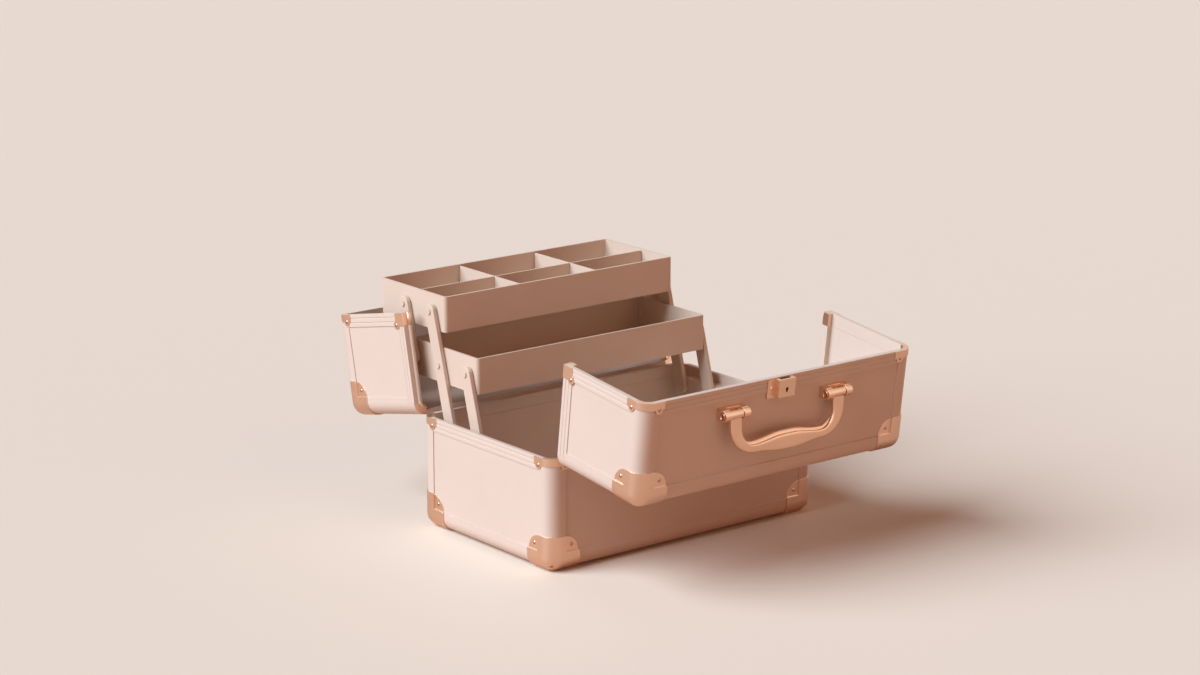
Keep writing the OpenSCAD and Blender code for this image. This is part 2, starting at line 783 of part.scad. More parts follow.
// The bail hangs from its eyes: two arms, two round bends and a swelled grip
module handle_bail() {
  in_r = bend_r - bail_w;
  arm_len = handle_drop - bend_r;
  half = handle_span / 2 + bail_w / 2;
  color(rose) front_lid() translate([0, eye_y, eye_z]) rotate([-hang, 0, 0]) {
    for (side = [0, 1]) mirror([side, 0, 0]) {
      difference() {
        union() {
          translate([(handle_span - eye_w) / 2, 0, 0]) rotate([0, 90, 0]) cylinder(r = eye_r, h = eye_w);
          translate([half - bail_w, -arm_len, -bail_t / 2]) cube([bail_w, arm_len, bail_t]);
        }
        rotate([0, 90, 0]) cylinder(r = handle_pin_r + pin_clear, h = handle_span);
      }
      translate([half - bend_r, -arm_len, -bail_t / 2]) rotate([0, 0, -90])
        rotate_extrude(angle = 90) translate([in_r, 0]) square([bail_w, bail_t]);
    }
    translate([0, -handle_drop + bail_w / 2, 0]) rotate([0, 90, 0]) grip(2 * (half - bend_r));
  }
}

// A grip of round section along Z, swelled in the middle and blunt at its ends
module grip(length) {
  end_r = bail_w / 2 - grip_in;
  rise = grip_r - end_r;
  arc_r = (length * length / 4 + rise * rise) / (2 * rise);
  rotate_extrude() intersection() {
    translate([grip_r - arc_r, 0]) circle(arc_r, $fn = 200);
    translate([0, -length / 2]) square([grip_r, length]);
  }
}

// A bracket block with two ears round an eye of the bail
module handle_bracket() {
  ear_x = eye_w / 2 + face_gap;
  block_top = handle_axis_h - eye_r - eye_space;
  color(rose) front_lid() translate([handle_span / 2, eye_y, panel_top]) {
    difference() {
      union() {
        translate([-ear_x - ear_w, -bracket_d / 2, 0])
          cube([2 * (ear_x + ear_w), bracket_d, block_top]);
        for (side = [0, 1]) mirror([side, 0, 0]) translate([ear_x, 0, 0]) {
          translate([0, -bracket_d / 2, 0]) cube([ear_w, bracket_d, handle_axis_h]);
          translate([0, 0, handle_axis_h]) rotate([0, 90, 0]) cylinder(r = ear_r, h = ear_w);
        }
      }
      translate([-ear_x - ear_w - over, 0, handle_axis_h]) rotate([0, 90, 0])
        cylinder(r = handle_pin_r + press_clear, h = 2 * (ear_x + ear_w + over));
    }
  }
}

module right_handle_bracket() { handle_bracket(); }
module left_handle_bracket() { mirror([1, 0, 0]) handle_bracket(); }

module handle_pins() {
  pin_len = eye_w + 2 * face_gap + 2 * ear_w;
  color(deep_rose) front_lid() at_eyes() translate([-pin_len / 2, 0, 0]) rotate([0, 90, 0])
    cylinder(r = handle_pin_r, h = pin_len);
}

// ---- Lock, drawn on the closed front lid half ----

// The lock's plate and raised box, hollow for the cam, with the slot that takes the strike
module lock_body() {
  plate_w = lock_w + flange_w + plate_side;
  plate_x = -lock_w / 2 - flange_w;
  plate_y = lock_y - lock_d - lock_foot;
  floor_z = lid_top + lock_floor;
  color(rose) front_lid() difference() {
    union() {
      translate([-lock_w / 2, lock_y - lock_d, lid_top]) cube([lock_w, lock_d, lock_h]);
      translate([plate_x, plate_y, lid_top]) cube([plate_w, lock_d + lock_foot, plate_t]);
      translate([plate_x, plate_y, lid_top - skin])
        cube([plate_w, lock_d + lock_foot + lock_edge - rim_h, skin]);
    }
    translate([lock_wall - lock_w / 2, lock_y - lock_d + lock_wall, floor_z])
      cube([lock_w - 2 * lock_wall, lock_d - 2 * lock_wall, lock_h - lock_wall - lock_floor]);
    translate([-tongue_w / 2 - slot_side, lock_y - lock_wall - over, floor_z])
      cube([tongue_w + 2 * slot_side, lock_wall + 2 * over, slot_h]);
    translate([0, cylinder_y, lid_top]) cylinder(r = cylinder_r + pin_clear, h = lock_h + over);
  }
}

// The turning cylinder with its keyhole, and the cam whose hook catches behind the strike's lip
module lock_cylinder() {
  hook_in = norm([lip_w / 2, lip_y - cylinder_y]) + cam_clear;
  hook_out = lock_y - lock_wall - cylinder_y - cam_clear;
  hook_z = tongue_top + cam_clear;
  color(deep_rose) front_lid() translate([0, cylinder_y, 0]) difference() {
    union() {
      translate([0, 0, lid_top + face_gap]) cylinder(r = cylinder_r, h = lock_h - face_gap);
      translate([0, -cam_w / 2, cam_z]) cube([hook_out, cam_w, cam_t]);
      translate([hook_in, -cam_w / 2, hook_z]) cube([hook_out - hook_in, cam_w, cam_z - hook_z]);
    }
    translate([0, 0, lid_top + lock_h - key_depth]) {
      cylinder(r = key_r, h = key_depth + over);
      translate([-key_w / 2, -key_reach, 0]) cube([key_w, key_reach, key_depth + over]);
    }
  }
}

// The domed screw in the lock plate's flange
module lock_screw() {
  color(deep_rose) front_lid()
    translate([-lock_w / 2 - flange_w / 2, lock_y - lock_d / 2, lid_top + plate_t]) rivet_head();
}

// The strike on the rear lid half: a plate on its split rim and a lipped tongue past the split
module lock_strike() {
  plate_d = rim_h - strike_in;
  color(rose) rear_lid() {
    translate([-tongue_w / 2 - strike_side, split_y - plate_d, lid_top])
      cube([tongue_w + 2 * strike_side, plate_d, tongue_lift + strike_t]);
    translate([-tongue_w / 2, split_y - over, lid_top + tongue_lift])
      cube([tongue_w, over + tongue_reach - split_y, strike_t]);
    translate([-lip_w / 2, tongue_reach - lip_t, lid_top + tongue_lift])
      cube([lip_w, lip_t, strike_t + lip_h]);
  }
}

base_front_panel();
base_rear_panel();
base_left_panel();
base_right_panel();
base_bottom_board();
base_edge_profiles();
base_rim_bars();
base_rim_joiners();
base_ball_corners();
base_rivets();
front_lid_top_panel();
front_lid_front_panel();
front_lid_left_panel();
front_lid_right_panel();
front_lid_edge_profiles();
front_lid_rim_bars();
front_lid_rim_joiners();
front_lid_ball_corners();
front_lid_rivets();
rear_lid_top_panel();
rear_lid_rear_panel();
rear_lid_left_panel();
rear_lid_right_panel();
rear_lid_edge_profiles();
rear_lid_rim_bars();
rear_lid_rim_joiners();
rear_lid_ball_corners();
rear_lid_rivets();
front_hinge_base_leaves();
front_hinge_lid_leaves();
front_hinge_pins();
rear_hinge_base_leaves();
rear_hinge_lid_leaves();
rear_hinge_pins();
lower_tray();
upper_tray();
upper_tray_long_divider();
upper_tray_cross_dividers();
left_long_arm();
right_long_arm();
left_rear_arm();
right_rear_arm();
left_front_arm();
right_front_arm();
left_arm_block();
right_arm_block();
base_pivot_rivets();
lower_tray_rivets();
upper_tray_rivets();
handle_bail();
left_handle_bracket();
right_handle_bracket();
handle_pins();
lock_body();
lock_cylinder();
lock_screw();
lock_strike();
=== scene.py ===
import json

import bmesh
import bpy
import numpy as np
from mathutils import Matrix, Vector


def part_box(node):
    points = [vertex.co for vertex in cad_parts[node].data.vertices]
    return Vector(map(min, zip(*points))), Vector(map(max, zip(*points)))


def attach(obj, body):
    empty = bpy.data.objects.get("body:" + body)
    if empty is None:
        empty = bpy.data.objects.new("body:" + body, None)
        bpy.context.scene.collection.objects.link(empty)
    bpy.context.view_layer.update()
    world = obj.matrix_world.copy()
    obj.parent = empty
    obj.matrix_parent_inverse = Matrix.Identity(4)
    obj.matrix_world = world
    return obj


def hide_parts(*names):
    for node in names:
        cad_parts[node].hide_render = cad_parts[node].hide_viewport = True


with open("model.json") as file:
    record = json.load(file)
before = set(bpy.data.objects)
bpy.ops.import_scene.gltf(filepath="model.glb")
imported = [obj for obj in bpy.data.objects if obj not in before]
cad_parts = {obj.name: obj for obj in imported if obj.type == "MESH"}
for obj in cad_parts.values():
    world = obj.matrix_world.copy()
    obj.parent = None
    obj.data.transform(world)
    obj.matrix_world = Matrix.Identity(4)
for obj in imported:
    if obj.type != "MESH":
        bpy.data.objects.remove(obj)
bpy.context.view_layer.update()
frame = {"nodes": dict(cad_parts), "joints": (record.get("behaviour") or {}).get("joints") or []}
nodes = frame["nodes"]
shown = bpy.context.scene


# ---- Camera ----
# A long lens at the front left that looks down on the open case. It is aimed at the case's axis, and its
# steps to the side and upwards set where the case stands in the picture.
camera_azimuth = np.radians(38.38)
camera_elevation = np.radians(14.31)
camera_distance = 3.4353
camera_aim = np.array([0.0, 0.0, 0.120])
camera_step_right = -0.0208
camera_step_up = 0.0782

camera_back = np.array([
    -np.sin(camera_azimuth) * np.cos(camera_elevation),
    -np.cos(camera_azimuth) * np.cos(camera_elevation),
    np.sin(camera_elevation),
])
camera_right = np.array([np.cos(camera_azimuth), -np.sin(camera_azimuth), 0.0])
camera_up = np.cross(camera_back, camera_right)

camera_data = bpy.data.cameras.new("camera")
camera_data.lens = 96.0
camera_data.sensor_width = 36.0
camera_data.clip_end = 60.0
camera = bpy.data.objects.new("camera", camera_data)
camera_matrix = np.eye(4)
camera_matrix[:3, 0] = camera_right
camera_matrix[:3, 1] = camera_up
camera_matrix[:3, 2] = camera_back
camera_matrix[:3, 3] = (
    camera_aim + camera_back * camera_distance
    + camera_right * camera_step_right + camera_up * camera_step_up
)
camera.matrix_world = camera_matrix.T.tolist()
shown.collection.objects.link(camera)
shown.camera = camera


# ---- Floor, lamps and world ----
# A plain floor that the camera sees pale and warm. The key is a broad soft sun high on the left and a little
# behind, so that the left ends are lit and the long front is in its own shade. A weak warm sun from in front
# fills that shade.
floor_bounce_color = (0.56, 0.305, 0.19)
floor_seen_color = (0.82, 0.70, 0.58)
floor_roughness = 0.75
floor_mirrored_share = 0.4
floor_radius = 12.0
floor_sides = 96


def node_material(name, color, roughness, metallic=0.0):
    """A material whose principled shader has this colour, roughness and metallic set on its own sockets."""
    material = bpy.data.materials.new(name)
    material.use_nodes = True
    shader = material.node_tree.nodes["Principled BSDF"]
    shader.inputs["Base Color"].default_value = (*color, 1.0)
    shader.inputs["Roughness"].default_value = roughness
    shader.inputs["Metallic"].default_value = metallic
    return material, shader


def add_mesh(name, points, faces, material):
    """A new smooth-shaded object at the origin from an array of points and a list of faces."""
    mesh = bpy.data.meshes.new(name)
    mesh.from_pydata(points.reshape(-1, 3).tolist(), [], [list(map(int, face)) for face in faces])
    mesh.polygons.foreach_set("use_smooth", np.full(len(mesh.polygons), True))
    mesh.materials.append(material)
    mesh.update()
    made = bpy.data.objects.new(name, mesh)
    shown.collection.objects.link(made)
    return made


# The floor throws warm light on the case, is pale to the camera, and is partly pale where metal mirrors it
floor_coat, floor_shader = node_material("floor", floor_bounce_color, floor_roughness)
floor_links = floor_coat.node_tree.links
floor_ray = floor_coat.node_tree.nodes.new("ShaderNodeLightPath")
floor_blend = floor_coat.node_tree.nodes.new("ShaderNodeMix")
floor_blend.data_type = "RGBA"
floor_blend.inputs["A"].default_value = (*floor_bounce_color, 1.0)
floor_blend.inputs["B"].default_value = (*floor_seen_color, 1.0)
floor_share = floor_coat.node_tree.nodes.new("ShaderNodeMath")
floor_share.operation = "MULTIPLY_ADD"
floor_share.inputs[1].default_value = floor_mirrored_share
floor_links.new(floor_ray.outputs["Is Glossy Ray"], floor_share.inputs[0])
floor_links.new(floor_ray.outputs["Is Camera Ray"], floor_share.inputs[2])
floor_links.new(floor_share.outputs[0], floor_blend.inputs["Factor"])
floor_links.new(floor_blend.outputs["Result"], floor_shader.inputs["Base Color"])

floor_turn = np.linspace(0, 2 * np.pi, floor_sides, endpoint=False)
floor_points = np.stack([np.cos(floor_turn), np.sin(floor_turn), 0 * floor_turn], axis=1) * floor_radius
floor = add_mesh("floor", floor_points, [range(floor_sides)], floor_coat)

case_middle = np.array([0.0, 0.0, 0.15])


def add_sun(name, place, strength, color, spread):
    """A sun that shines from this place to the case's middle, its disc as wide as this angle."""
    sun = bpy.data.lights.new(name, "SUN")
    sun.energy = strength
    sun.color = color
    sun.angle = spread
    back = np.array(place) - case_middle
    back /= np.linalg.norm(back)
    right = np.cross([0.0, 0.0, 1.0], back)
    right /= np.linalg.norm(right)
    matrix = np.eye(4)
    matrix[:3, 0] = right
    matrix[:3, 1] = np.cross(back, right)
    matrix[:3, 2] = back
    matrix[:3, 3] = place
    lamp = bpy.data.objects.new(name, sun)
    lamp.matrix_world = matrix.T.tolist()
    shown.collection.objects.link(lamp)


add_sun("key_lamp", place=(-3.2, 0.75, 2.7), strength=4.35, color=(0.84, 1.00, 1.16), spread=0.9)
add_sun("front_fill", place=(0.9, -2.4, 1.3), strength=0.48, color=(1.0, 0.48, 0.30), spread=1.2)

# The world lights the case with a faint warm glow, and is pale to the camera and in mirrors
glow_color = (1.0, 0.42, 0.25)
glow_strength = 0.17
backdrop_color = (0.84, 0.78, 0.72)
backdrop_strength = 1.0

world = bpy.data.worlds.new("studio")
world.use_nodes = True
shown.world = world
world_nodes = world.node_tree.nodes
world_links = world.node_tree.links
world_glow = world_nodes["Background"]
world_glow.inputs["Color"].default_value = (*glow_color, 1.0)
world_glow.inputs["Strength"].default_value = glow_strength
world_seen = world_nodes.new("ShaderNodeBackground")
world_seen.inputs["Color"].default_value = (*backdrop_color, 1.0)
world_seen.inputs["Strength"].default_value = backdrop_strength
world_ray = world_nodes.new("ShaderNodeLightPath")
seen_or_mirrored = world_nodes.new("ShaderNodeMath")
seen_or_mirrored.operation = "MAXIMUM"
world_links.new(world_ray.outputs["Is Camera Ray"], seen_or_mirrored.inputs[0])
world_links.new(world_ray.outputs["Is Glossy Ray"], seen_or_mirrored.inputs[1])
world_pick = world_nodes.new("ShaderNodeMixShader")
world_links.new(seen_or_mirrored.outputs[0], world_pick.inputs[0])
world_links.new(world_glow.outputs[0], world_pick.inputs[1])
world_links.new(world_seen.outputs[0], world_pick.inputs[2])
world_links.new(world_pick.outputs[0], world_nodes["World Output"].inputs["Surface"])
shown.view_settings.view_transform = "Standard"


# ---- Panels and bottom board ----
# Thin boards faced with a nude-pink satin laminate, slid into the profiles' lips on all four sides. The
# laminate is even, with a fine orange peel and a faint cloudiness in its gloss.
coat_color = (0.700, 0.552, 0.455)


def object_coordinates(material, scale=(1.0, 1.0, 1.0)):
    """The piece's own coordinates through a Mapping node with this scale."""
    tree = material.node_tree
    place = tree.nodes.new("ShaderNodeTexCoord")
    mapping = tree.nodes.new("ShaderNodeMapping")
    mapping.inputs["Scale"].default_value = scale
    tree.links.new(place.outputs["Object"], mapping.inputs["Vector"])
    return mapping.outputs["Vector"]


def noise(material, vector, scale, detail=2.0, roughness=0.5):
    """A noise pattern of this scale, cycles a metre, on these coordinates."""
    pattern = material.node_tree.nodes.new("ShaderNodeTexNoise")
    pattern.inputs["Scale"].default_value = scale
    pattern.inputs["Detail"].default_value = detail
    pattern.inputs["Roughness"].default_value = roughness
    material.node_tree.links.new(vector, pattern.inputs["Vector"])
    return pattern.outputs["Fac"]


def ramp(material, value, low, high, low_at=0.3, high_at=0.7):
    """A value that goes from low to high while the pattern goes from low_at to high_at."""
    spread = material.node_tree.nodes.new("ShaderNodeMapRange")
    spread.inputs["From Min"].default_value = low_at
    spread.inputs["From Max"].default_value = high_at
    spread.inputs["To Min"].default_value = low
    spread.inputs["To Max"].default_value = high
    material.node_tree.links.new(value, spread.inputs["Value"])
    return spread.outputs["Result"]


def shade(material, shader, value, color, other):
    """Blends two near colours by a pattern into the shader's base colour."""
    blend = material.node_tree.nodes.new("ShaderNodeMix")
    blend.data_type = "RGBA"
    blend.inputs["A"].default_value = (*color, 1.0)
    blend.inputs["B"].default_value = (*other, 1.0)
    material.node_tree.links.new(value, blend.inputs["Factor"])
    material.node_tree.links.new(blend.outputs["Result"], shader.inputs["Base Color"])


def bump(material, shader, value, height, strength):
    """Raises the surface by a pattern of this height in metres."""
    relief = material.node_tree.nodes.new("ShaderNodeBump")
    relief.inputs["Distance"].default_value = height
    relief.inputs["Strength"].default_value = strength
    material.node_tree.links.new(value, relief.inputs["Height"])
    material.node_tree.links.new(relief.outputs["Normal"], shader.inputs["Normal"])


def satin_coat(name, color, roughness, grain, grain_height, cloud=0.96):
    """Satin coating: an orange peel of this grain, and a slow cloud in its colour and its gloss."""
    material, shader = node_material(name, color, roughness)
    place = object_coordinates(material)
    slow = noise(material, place, scale=14.0, detail=3.0)
    cloudy_color = tuple(cloud * part for part in color)
    shade(material, shader, ramp(material, slow, low=0.0, high=1.0), color, cloudy_color)
    gloss = ramp(material, slow, low=roughness - 0.03, high=roughness + 0.04)
    material.node_tree.links.new(gloss, shader.inputs["Roughness"])
    bump(material, shader, noise(material, place, scale=grain), height=grain_height, strength=0.35)
    return material


def dress(material, *names):
    """Gives CAD nodes this material in all their slots."""
    for name in names:
        slots = nodes[name].data.materials
        for index in range(len(slots)):
            slots[index] = material
        if not len(slots):
            slots.append(material)


laminate = satin_coat("pink_laminate", coat_color, roughness=0.42, grain=900.0, grain_height=0.00006)
panels = [name for name in nodes if name.endswith("_panel")]
dress(laminate, *panels, "base_bottom_board")


# ---- Edge profiles and rim bars ----
# Extruded aluminium, powder coated in the panels' pink: quarter-round profiles along the outer edges, and
# ribbed bars with soft edges round the open rims. The coat is a little glossier than the laminate.
def soften(names, width, segments=2, angle=35.0):
    """Rounds CAD nodes' edges sharper than this angle by this width, after joining their loose triangles."""
    for name in names:
        weld = nodes[name].modifiers.new("join", "WELD")
        weld.merge_threshold = 0.000002
        round_off = nodes[name].modifiers.new("soft_edges", "BEVEL")
        round_off.width = width
        round_off.segments = segments
        round_off.limit_method = "ANGLE"
        round_off.angle_limit = np.radians(angle)
        nodes[name].modifiers.new("flat_faces", "WEIGHTED_NORMAL")


powder_coat = satin_coat(
    "pink_powder_coat", coat_color, roughness=0.36, grain=700.0, grain_height=0.00008, cloud=0.97
)
edge_profiles = [name for name in nodes if name.endswith("_edge_profiles")]
rim_bars = [name for name in nodes if name.endswith("_rim_bars")]
dress(powder_coat, *edge_profiles, *rim_bars)
soften(rim_bars, width=0.0004)


# ---- Ball corners, rim joiners and hinges ----
# Pressed sheet steel with a satin rose-gold plate, riveted over the corners of the case and of its rims. The
# fine rubbed grain of the plate breaks its gloss. The hinges' leaves are plated alike.
plate_color = (0.83, 0.575, 0.425)
rub_stretch = (1.0, 1.0, 14.0)
plate_cloud = 0.93


def rubbed_metal(name, color, roughness):
    """Satin metal: a fine grain, stretched by the rub, in its gloss and its relief, and a slow cloud."""
    material, shader = node_material(name, color, roughness, metallic=1.0)
    place = object_coordinates(material, rub_stretch)
    rubbed = noise(material, place, scale=260.0, detail=4.0, roughness=0.6)
    slow = noise(material, object_coordinates(material), scale=22.0)
    cloudy_color = tuple(plate_cloud * part for part in color)
    shade(material, shader, ramp(material, slow, low=0.0, high=1.0), color, cloudy_color)
    gloss = ramp(material, rubbed, low=roughness - 0.06, high=roughness + 0.08)
    material.node_tree.links.new(gloss, shader.inputs["Roughness"])
    bump(material, shader, rubbed, height=0.00003, strength=0.25)
    return material


plate = rubbed_metal("rose_gold_plate", plate_color, roughness=0.34)
corner_fittings = [name for name in nodes if name.endswith(("_ball_corners", "_rim_joiners"))]
hinge_leaves = [name for name in nodes if name.endswith("_leaves")]
dress(plate, *corner_fittings, *hinge_leaves)
soften(corner_fittings, width=0.00025)


# ---- Rivets and pins ----
# Turned rose-gold rivets that hold the corner fittings and the rim joiners, a shade deeper than the plates
# under them. The pins of the hinges and of the handle are of the same metal.
rivet_color = (0.52, 0.28, 0.18)
rivet_metal = rubbed_metal("rose_gold_rivets", rivet_color, roughness=0.28)
dress(rivet_metal, "base_rivets", "front_lid_rivets", "rear_lid_rivets")
dress(rivet_metal, "front_hinge_pins", "rear_hinge_pins", "handle_pins")


# ---- Trays, dividers and arms ----
# Two trays in the same pink, with thin walls and small round corners, the upper one with dividers set in.
# Flat bars with round ends and soft edges carry them on each side, and turn on rivets through the trays' ends
# and through blocks on the base's walls.
tray_color = (0.690, 0.530, 0.415)
arm_edge = 0.0009

tray_coat = satin_coat("pink_tray", tray_color, roughness=0.40, grain=800.0, grain_height=0.00006)
trays = [name for name in nodes if "tray" in name and not name.endswith("_rivets")]
dress(tray_coat, *trays)
soften(trays, width=0.0005)
arm_coat = satin_coat("pink_arms", tray_color, roughness=0.38, grain=800.0, grain_height=0.00006)
dress(arm_coat, "left_arm_block", "right_arm_block")
dress(arm_coat, "base_pivot_rivets", "lower_tray_rivets", "upper_tray_rivets")

joints = {joint["name"]: joint for joint in frame["joints"]}
joint_place = {name: np.array(joint["pos_m"]) for name, joint in joints.items()}


def ring_faces(rings, corners):
    """Quads of a tube: a corner of one ring, the same of the next, and the next corner of both, wrapped."""
    ring, corner = np.meshgrid(np.arange(rings - 1), np.arange(corners), indexing="ij")
    here, after = ring.ravel() * corners, (ring.ravel() + 1) * corners
    corner, beside = corner.ravel(), (corner.ravel() + 1) % corners
    return np.stack([here + corner, after + corner, after + beside, here + beside], axis=1)


def closed_tube(name, rings, material):
    """A tube of rings with a flat cap on each end, its faces outwards."""
    rows, columns = rings.shape[:2]
    first_cap = list(range(columns))[::-1]
    last_cap = [(rows - 1) * columns + corner for corner in range(columns)]
    made = add_mesh(name, rings, ring_faces(rows, columns).tolist() + [first_cap, last_cap], material)
    work = bmesh.new()
    work.from_mesh(made.data)
    bmesh.ops.recalc_face_normals(work, faces=work.faces)
    work.to_mesh(made.data)
    work.free()
    return made


def quarter_round(steps=6):
    """Inset and rise of a rounded edge along a quarter circle: 1 - sin q and 1 - cos q, each from 0 to 1."""
    q = np.linspace(0, np.pi / 2, steps)
    return 1 - np.sin(q), 1 - np.cos(q)


def round_bar(name, foot, top, half_width, x_low, x_high, edge, material, around=96):
    """A flat bar with round ends: a stadium from foot to top in the plane of X, its edges rounded by edge."""
    turn = np.linspace(0, 2 * np.pi, around, endpoint=False)
    along = (top - foot) / np.linalg.norm(top - foot)
    beside = np.array([0.0, -along[2], along[1]])
    out = np.cos(turn)[:, None] * beside + np.sin(turn)[:, None] * along
    middle = np.where(np.sin(turn)[:, None] > 0, top, foot)
    inset, rise = quarter_round()
    inset = np.concatenate([inset, inset[::-1]]) * edge
    across = np.concatenate([x_low + rise * edge, x_high - rise[::-1] * edge])
    rings = middle[None] + out[None] * (half_width - inset)[:, None, None]
    rings[..., 0] = across[:, None]
    made = closed_tube(name, rings, material)
    made.modifiers.new("flat_faces", "WEIGHTED_NORMAL")
    return made


# Each kind of arm: its body, and two pivots that are as far apart as the arm's own eyes
arm_kinds = {
    "long_arm": ("long_arms", "long_arm_pivot", "upper_tray_pivot"),
    "front_arm": ("front_arms", "long_arm_pivot", "lower_tray_pivot"),
    "rear_arm": ("rear_arms", "lower_tray_pivot", "upper_tray_pivot"),
}
for end in ("left", "right"):
    for arm, (body, reach_from, reach_to) in arm_kinds.items():
        node = f"{end}_{arm}"
        low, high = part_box(node)
        foot = joint_place[f"{arm}_pivot"]
        reach = joint_place[reach_to] - joint_place[reach_from]
        half_width = (high[1] - low[1] - abs(reach[1])) / 2
        bar = round_bar(f"{node}_bar", foot, foot + reach, half_width, low[0], high[0], arm_edge, arm_coat)
        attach(bar, body)
        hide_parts(node)


# ---- Rim tongues ----
# A round lip on the flange inside each lid half's mating rim, which drops inside the base's rim as the half
# closes: pink along the ends, plated where it bends round the corner. A thin plated cap ends each flange.
lid_gap, split_half = 0.0004, 0.0003
corner_radius = 0.014
lip_from, lip_to, lip_end_gap = 0.0004, 0.0050, 0.0005
lip_drop, lip_root, lip_fullness = 0.0022, 0.0003, 0.6
lip_steps, corner_steps = 15, 20
cap_length, cap_gap = 0.014, 0.0002
cap_inside, cap_outside, cap_below, cap_above = 0.0001, 0.0007, 0.0002, 0.0004

panel_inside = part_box("base_right_panel")[0][0]
rim_outside = np.array(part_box("base_rim_bars")[1])
wall = rim_outside[0] - panel_inside
lid_foot = rim_outside[2] + lid_gap
bend_radius = corner_radius - wall
bend_from = rim_outside[1] - wall - bend_radius
cap_from = split_half + cap_length

# The lip's section: across from lip_from to lip_to on half a turn, down by the drop times sine to a power
lip_turn = np.linspace(0, np.pi, lip_steps)
lip_section = np.stack([
    (lip_from + lip_to) / 2 - (lip_to - lip_from) / 2 * np.cos(lip_turn),
    lip_root - (lip_drop + lip_root) * np.sin(lip_turn) ** lip_fullness,
], axis=1)


def lip_along(path, inward):
    """The lip's section set on each point of a plan path: path + inward * across, lid_foot + down."""
    plan = path[:, None, :] + inward[:, None, :] * lip_section[None, :, :1]
    up = np.broadcast_to(lid_foot + lip_section[:, 1], plan.shape[:2])
    return np.concatenate([plan, up[..., None]], axis=2)


def block(low, high):
    """Two rings of a rectangular block, for closed_tube."""
    corners = np.array([(low[0], low[1]), (high[0], low[1]), (high[0], high[1]), (low[0], high[1])])
    return np.stack([np.concatenate([corners, np.full((4, 1), z)], axis=1) for z in (low[2], high[2])])


def opened(points, hinge):
    """Points on the closed lid half, turned back about its hinge to where the half stands at rest."""
    turn = -np.radians(hinge["range_deg"][1]) * hinge["axis"][0]
    y, z = points[..., 1] - hinge["pos_m"][1], points[..., 2] - hinge["pos_m"][2]
    swung = points.copy()
    swung[..., 1] = hinge["pos_m"][1] + y * np.cos(turn) - z * np.sin(turn)
    swung[..., 2] = hinge["pos_m"][2] + y * np.sin(turn) + z * np.cos(turn)
    return swung


corner_turn = np.linspace(0, np.pi / 2, corner_steps)
cap_low = np.array([panel_inside - cap_inside, split_half, lid_foot - cap_below])
cap_high = np.array([rim_outside[0] + cap_outside, cap_from - cap_gap, lid_foot + cap_above])
for half, toward in (("front", -1), ("rear", 1)):
    hinge = joints[f"{half}_lid_hinge"]
    for end, outward in (("left", -1), ("right", 1)):
        sides = np.array([outward, toward])
        inward = np.array([(-outward, 0.0), (-outward, 0.0)])
        spoke = np.stack([np.cos(corner_turn), np.sin(corner_turn)], axis=1) * sides
        bend = np.array([panel_inside - bend_radius, bend_from]) * sides + spoke * bend_radius
        straight = np.array([(panel_inside, bend_from), (panel_inside, cap_from)]) * sides
        last = np.array([(panel_inside, cap_from), (panel_inside, split_half + lip_end_gap)]) * sides
        cap = block(cap_low, cap_high) * (outward, toward, 1)
        for part, rings, coat, slot in (
            ("tongue", lip_along(straight, inward), powder_coat, "profile_metal"),
            ("tongue_corner", lip_along(bend, -spoke), plate, "rose_metal"),
            ("tongue_end", lip_along(last, inward), plate, "rose_metal"),
            ("rim_cap", cap, plate, "rose_metal"),
        ):
            piece = closed_tube(f"{half}_lid_{end}_{part}", opened(rings, hinge), coat)
            piece.modifiers.new("flat_faces", "WEIGHTED_NORMAL")
            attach(piece, f"{half}_lid")


# ---- Handle ----
# A cast bail with a satin rose-gold plate: two flat arms that bend into one strap, with a swelled pad behind
# the strap to fill the hand, and an eye at each end that turns on the bracket's pin.
cast_color = (0.82, 0.55, 0.39)
strap_width, strap_depth, strap_squareness = 0.0145, 0.0052, 5.0
strap_bend_radius = 0.0245
grip_waist, grip_belly = 0.0080, 0.0158
eye_radius, eye_width, eye_edge = 0.0048, 0.0160, 0.0006
line_steps = 181

# The strap narrows from this share of its arm on, and is widest from this share of half the grip on
waist_from, belly_full = 0.7, 0.85
# How far the strap's middle stands in front of the eyes, and how much more along the grip
strap_forward, strap_forward_more = 0.0002, 0.0016

# The pad's back and front along the grip, how far it laps over the bend's start, and its edge round the strap
pad_back, pad_front, pad_overlap, pad_edge = -0.0082, 0.0014, 0.001, 0.0004
# It grows over this share of the bend from this least size, and is this square in section
pad_full, pad_least, pad_squareness = 1.2, 0.02, 2.4
# How far it lies inwards of the strap, how much more along the grip, and how far it starts in front
pad_inwards, pad_inwards_more, pad_lean = 0.0010, 0.0018, 0.0020

cast_plate = rubbed_metal("rose_gold_cast", cast_color, roughness=0.32)
eye_place = joint_place["handle_hinge"]
bail_low, bail_high = (np.array(corner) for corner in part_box("handle_bail"))
arm_x = bail_high[0] - eye_width / 2
grip_z = bail_low[2] + grip_belly / 2
front = np.array([0.0, -1.0, 0.0])


def smooth_step(value):
    """3v^2 - 2v^3 between 0 and 1, flat outside."""
    v = np.clip(value, 0.0, 1.0)
    return v * v * (3 - 2 * v)


def sweep(path, across, half_across, half_deep, shift_across, shift_deep, power, around=48):
    """Superellipse |a/A|^n + |d/D|^n = 1 at each point of the path, a across and d to the front, shifted."""
    turn = np.linspace(0, 2 * np.pi, around, endpoint=False)
    a = np.sign(np.cos(turn)) * np.abs(np.cos(turn)) ** (2 / power)
    d = np.sign(np.sin(turn)) * np.abs(np.sin(turn)) ** (2 / power)
    a = half_across[:, None] * a + shift_across[:, None]
    d = half_deep[:, None] * d + shift_deep[:, None]
    return path[:, None, :] + a[..., None] * across[:, None, :] + d[..., None] * front[None, None, :]


